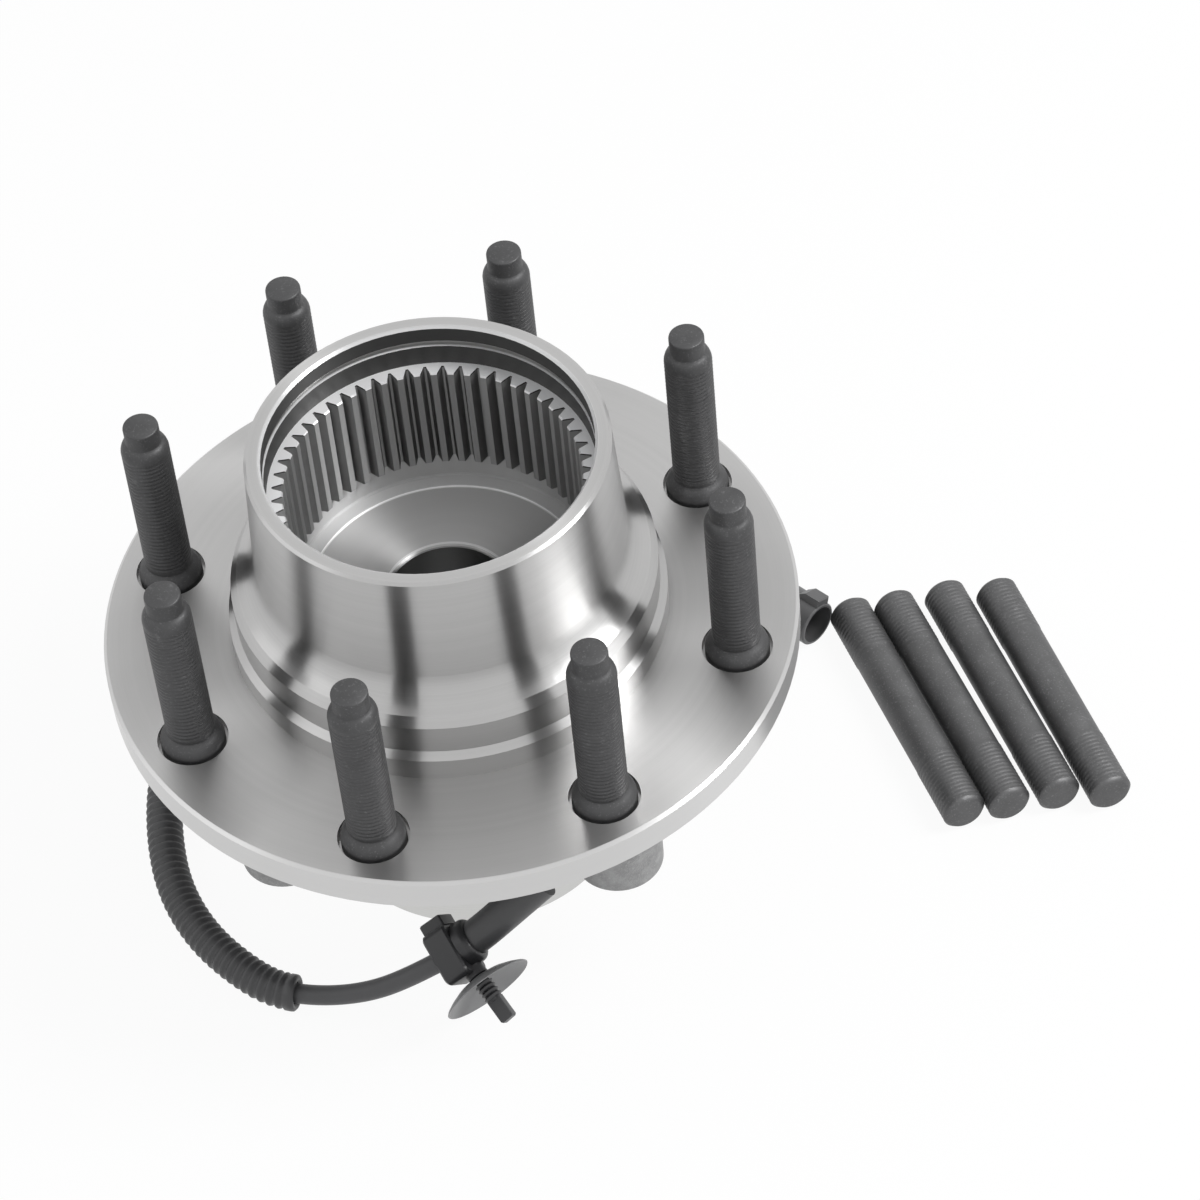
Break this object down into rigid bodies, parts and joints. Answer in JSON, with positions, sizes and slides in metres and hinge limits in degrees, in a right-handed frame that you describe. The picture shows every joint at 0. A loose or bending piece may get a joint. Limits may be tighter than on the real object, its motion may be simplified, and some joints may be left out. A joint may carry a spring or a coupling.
{
  "type": "wheel hub bearing",
  "caption": "Unitised wheel hub bearing: studded flange, internally toothed nose, eared housing with tapered roller rows, and a speed sensor lead with clip and connector.",
  "frame": {"origin": "on the spin axis, in the flange's face that the wheel is bolted against", "axes": "+Z along the spin axis towards the nose; X and Y lie midway between the housing's ears"},
  "size_m": [0.2993, 0.2202, 0.16],
  "materials": {
    "turned_steel": "turned and polished",
    "ground_steel": "ground",
    "phosphated_steel": "dark phosphate, satin",
    "cage_steel": "pressed sheet",
    "cast_housing": "forged and shot-blasted, seats machined",
    "black_rubber": "matt",
    "cable_jacket": "satin",
    "black_plastic": "moulded, satin",
    "terminal_brass": "tinned"
  },
  "bodies": {
    "housing": {"bearing_housing": "cast_housing", "outboard_cup": "ground_steel", "inboard_cup": "ground_steel", "outboard_seal": "black_rubber", "inboard_seal": "black_rubber", "pilot_oring": "black_rubber", "abs_sensor": "black_plastic", "sensor_oring": "black_rubber", "sensor_screw": "phosphated_steel", "sensor_boot": "black_rubber", "sensor_cable": "cable_jacket", "cable_conduit": "black_plastic", "cable_clip": "black_plastic", "clip_latch": "black_plastic", "connector_housing": "black_plastic", "connector_lock": "black_plastic", "connector_seal": "black_rubber", "connector_terminals": "terminal_brass", "mounting_studs": "phosphated_steel"},
    "hub": {"wheel_hub": "turned_steel", "wheel_studs": "phosphated_steel", "outboard_inner_ring": "ground_steel", "inboard_inner_ring": "ground_steel", "tone_ring": "cage_steel", "spindle_nut": "phosphated_steel"},
    "outboard_cage_set": {"outboard_cage": "cage_steel", "outboard_rollers": "ground_steel"},
    "inboard_cage_set": {"inboard_cage": "cage_steel", "inboard_rollers": "ground_steel"}
  },
  "joints": [
    {"name": "hub_spin", "type": "hinge", "parent": "housing", "child": "hub", "pos_m": [0, 0, 0], "axis": [0, 0, 1], "continuous": true},
    {"name": "outboard_cage_spin", "type": "hinge", "parent": "housing", "child": "outboard_cage_set", "pos_m": [0, 0, -0.027], "axis": [0, 0, 1], "continuous": true},
    {"name": "inboard_cage_spin", "type": "hinge", "parent": "housing", "child": "inboard_cage_set", "pos_m": [0, 0, -0.074], "axis": [0, 0, 1], "continuous": true}
  ],
  "couplings": [
    {"joint": "outboard_cage_spin", "follows": "hub_spin", "ratio": 0.45025},
    {"joint": "inboard_cage_spin", "follows": "hub_spin", "ratio": 0.44561}
  ]
}
